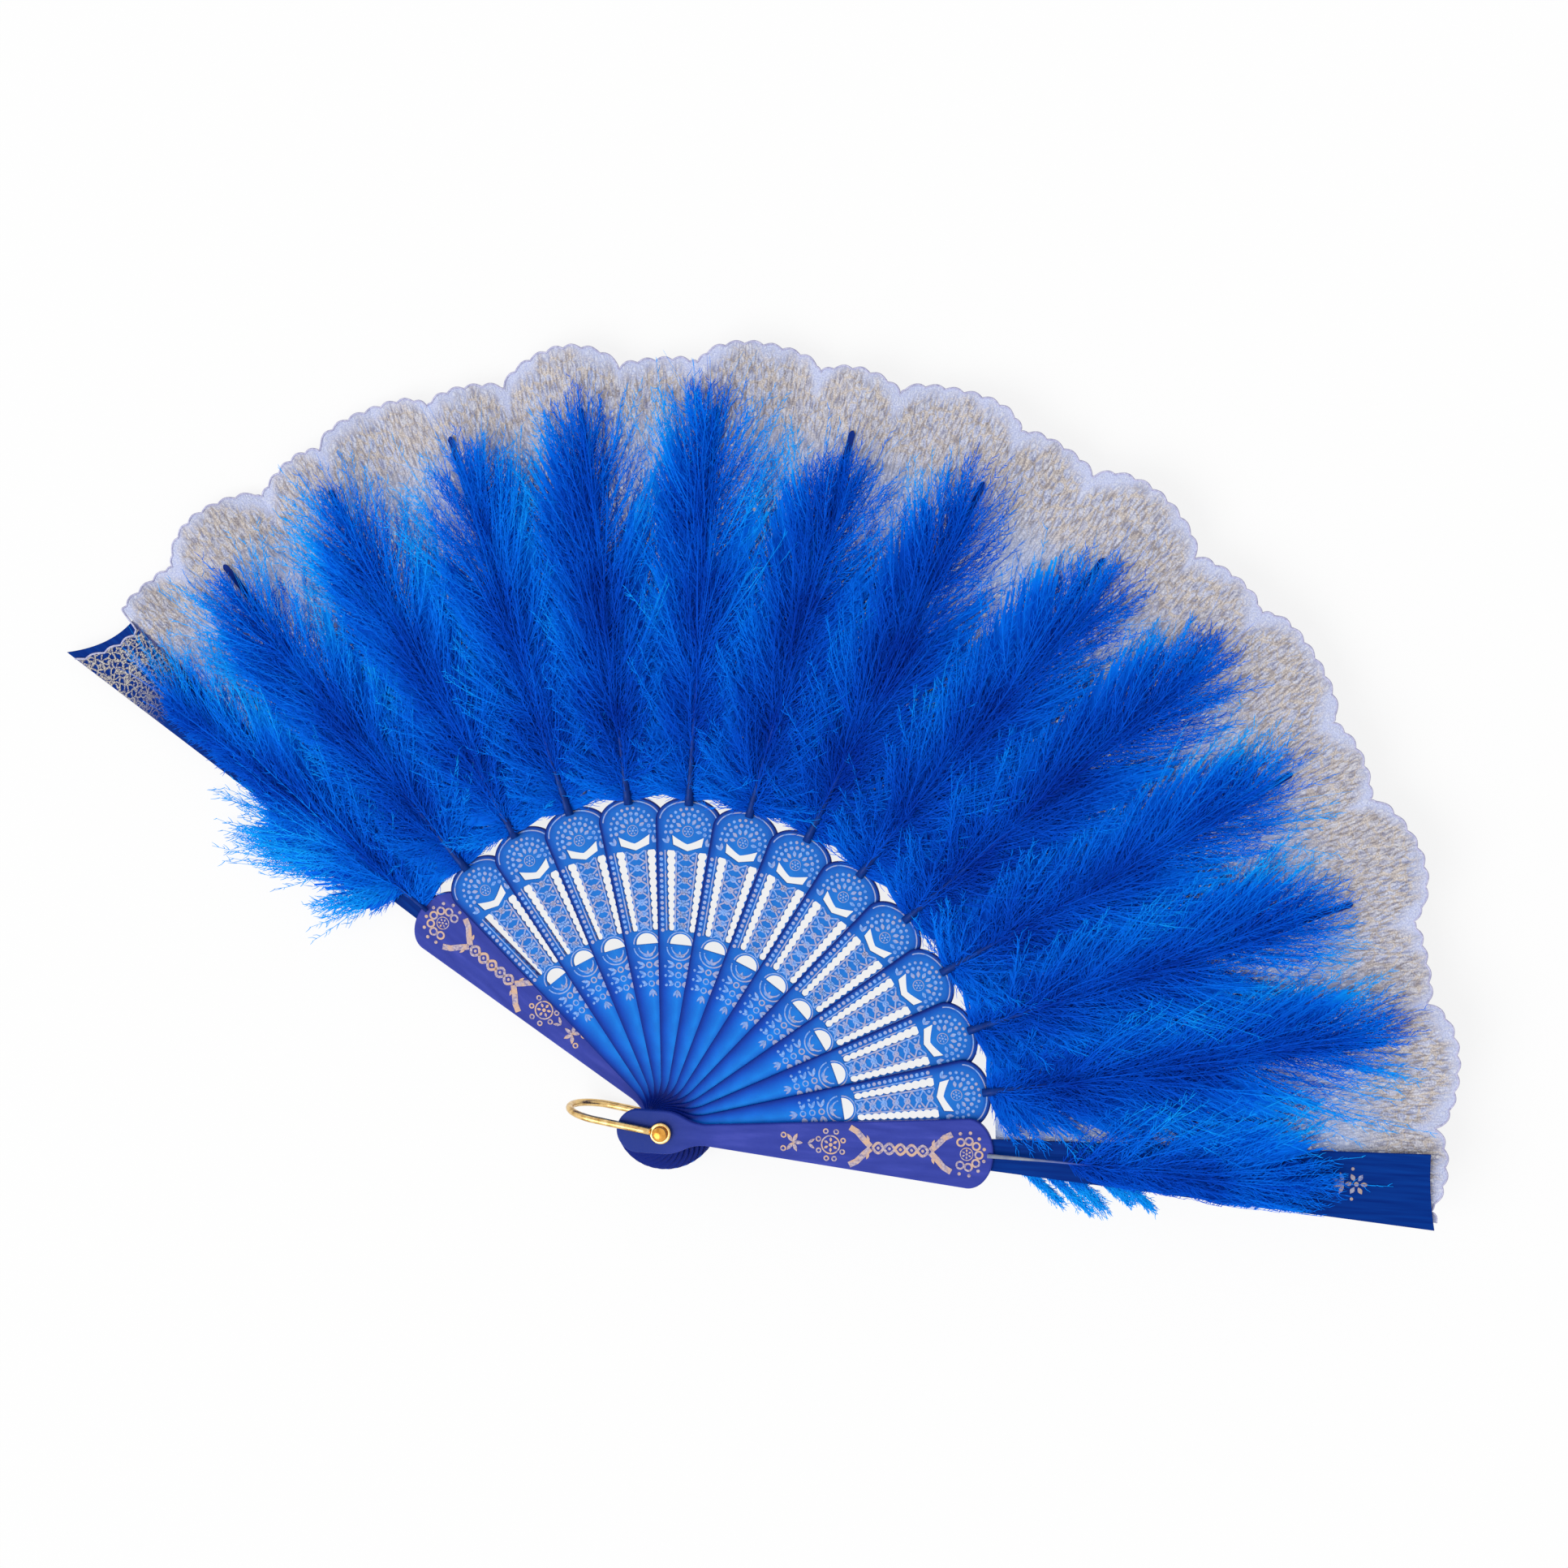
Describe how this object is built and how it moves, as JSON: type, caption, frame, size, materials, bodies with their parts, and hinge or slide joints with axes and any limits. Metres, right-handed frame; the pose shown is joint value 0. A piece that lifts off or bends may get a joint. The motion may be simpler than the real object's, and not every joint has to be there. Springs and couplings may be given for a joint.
{
  "type": "folding feather fan",
  "caption": "Open folding hand fan: pierced plastic sticks on one rivet, a scalloped lace leaf, a down feather on each stick and a wire bail at the pivot.",
  "frame": {"origin": "centre of the flat underside of the rivet's rear head, on the axis that every stick turns on", "axes": "+Z along the rivet, out of the fan's front; +Y along the middle of the open spread; +X towards the front guard"},
  "size_m": [0.4399, 0.2481, 0.025],
  "materials": {
    "stick_plastic": "gloss moulded",
    "guard_plastic": "satin moulded",
    "lace": "open lace with metallic thread",
    "down": "dyed down feather",
    "brass": "polished"
  },
  "bodies": {
    "rear": {"rear_guard": "guard_plastic", "leaf_panel_01": "lace", "feather_01": "down", "pivot_rivet": "brass", "rivet_cap": "brass"},
    "blade_01": {"stick_01": "stick_plastic", "leaf_panel_02": "lace", "feather_02": "down"},
    "blade_02": {"stick_02": "stick_plastic", "leaf_panel_03": "lace", "feather_03": "down"},
    "blade_03": {"stick_03": "stick_plastic", "leaf_panel_04": "lace", "feather_04": "down"},
    "blade_04": {"stick_04": "stick_plastic", "leaf_panel_05": "lace", "feather_05": "down"},
    "blade_05": {"stick_05": "stick_plastic", "leaf_panel_06": "lace", "feather_06": "down"},
    "blade_06": {"stick_06": "stick_plastic", "leaf_panel_07": "lace", "feather_07": "down"},
    "blade_07": {"stick_07": "stick_plastic", "leaf_panel_08": "lace", "feather_08": "down"},
    "blade_08": {"stick_08": "stick_plastic", "leaf_panel_09": "lace", "feather_09": "down"},
    "blade_09": {"stick_09": "stick_plastic", "leaf_panel_10": "lace", "feather_10": "down"},
    "blade_10": {"stick_10": "stick_plastic", "leaf_panel_11": "lace", "feather_11": "down"},
    "blade_11": {"stick_11": "stick_plastic", "leaf_panel_12": "lace", "feather_12": "down"},
    "blade_12": {"stick_12": "stick_plastic", "leaf_panel_13": "lace", "feather_13": "down"},
    "front": {"front_guard": "guard_plastic", "feather_14": "down"},
    "bail": {"bail": "brass"}
  },
  "joints": [
    {"name": "fold", "type": "hinge", "parent": "rear", "child": "blade_01", "pos_m": [0, 0, 0], "axis": [0, 0, 1], "range_deg": [0, 10.93], "deforming": ["feather_01"]},
    {"name": "fold_02", "type": "hinge", "parent": "blade_01", "child": "blade_02", "pos_m": [0, 0, 0], "axis": [0, 0, 1], "range_deg": [0, 10.93], "deforming": ["feather_02"]},
    {"name": "fold_03", "type": "hinge", "parent": "blade_02", "child": "blade_03", "pos_m": [0, 0, 0], "axis": [0, 0, 1], "range_deg": [0, 10.93], "deforming": ["feather_03"]},
    {"name": "fold_04", "type": "hinge", "parent": "blade_03", "child": "blade_04", "pos_m": [0, 0, 0], "axis": [0, 0, 1], "range_deg": [0, 10.93], "deforming": ["feather_04"]},
    {"name": "fold_05", "type": "hinge", "parent": "blade_04", "child": "blade_05", "pos_m": [0, 0, 0], "axis": [0, 0, 1], "range_deg": [0, 10.93], "deforming": ["feather_05"]},
    {"name": "fold_06", "type": "hinge", "parent": "blade_05", "child": "blade_06", "pos_m": [0, 0, 0], "axis": [0, 0, 1], "range_deg": [0, 10.93], "deforming": ["feather_06"]},
    {"name": "fold_07", "type": "hinge", "parent": "blade_06", "child": "blade_07", "pos_m": [0, 0, 0], "axis": [0, 0, 1], "range_deg": [0, 10.93], "deforming": ["feather_07"]},
    {"name": "fold_08", "type": "hinge", "parent": "blade_07", "child": "blade_08", "pos_m": [0, 0, 0], "axis": [0, 0, 1], "range_deg": [0, 10.93], "deforming": ["feather_08"]},
    {"name": "fold_09", "type": "hinge", "parent": "blade_08", "child": "blade_09", "pos_m": [0, 0, 0], "axis": [0, 0, 1], "range_deg": [0, 10.93], "deforming": ["feather_09"]},
    {"name": "fold_10", "type": "hinge", "parent": "blade_09", "child": "blade_10", "pos_m": [0, 0, 0], "axis": [0, 0, 1], "range_deg": [0, 10.93], "deforming": ["feather_10"]},
    {"name": "fold_11", "type": "hinge", "parent": "blade_10", "child": "blade_11", "pos_m": [0, 0, 0], "axis": [0, 0, 1], "range_deg": [0, 10.93], "deforming": ["feather_11"]},
    {"name": "fold_12", "type": "hinge", "parent": "blade_11", "child": "blade_12", "pos_m": [0, 0, 0], "axis": [0, 0, 1], "range_deg": [0, 10.93], "deforming": ["feather_12"]},
    {"name": "fold_13", "type": "hinge", "parent": "blade_12", "child": "front", "pos_m": [0, 0, 0], "axis": [0, 0, 1], "range_deg": [0, 10.93], "deforming": ["feather_13"]},
    {"name": "bail_swing", "type": "hinge", "parent": "rear", "child": "bail", "pos_m": [0, 0, 0], "axis": [0, 0, 1], "range_deg": [-12, 170]}
  ],
  "couplings": [
    {"joint": "fold_02", "follows": "fold", "ratio": 1},
    {"joint": "fold_03", "follows": "fold", "ratio": 1},
    {"joint": "fold_04", "follows": "fold", "ratio": 1},
    {"joint": "fold_05", "follows": "fold", "ratio": 1},
    {"joint": "fold_06", "follows": "fold", "ratio": 1},
    {"joint": "fold_07", "follows": "fold", "ratio": 1},
    {"joint": "fold_08", "follows": "fold", "ratio": 1},
    {"joint": "fold_09", "follows": "fold", "ratio": 1},
    {"joint": "fold_10", "follows": "fold", "ratio": 1},
    {"joint": "fold_11", "follows": "fold", "ratio": 1},
    {"joint": "fold_12", "follows": "fold", "ratio": 1},
    {"joint": "fold_13", "follows": "fold", "ratio": 1}
  ]
}
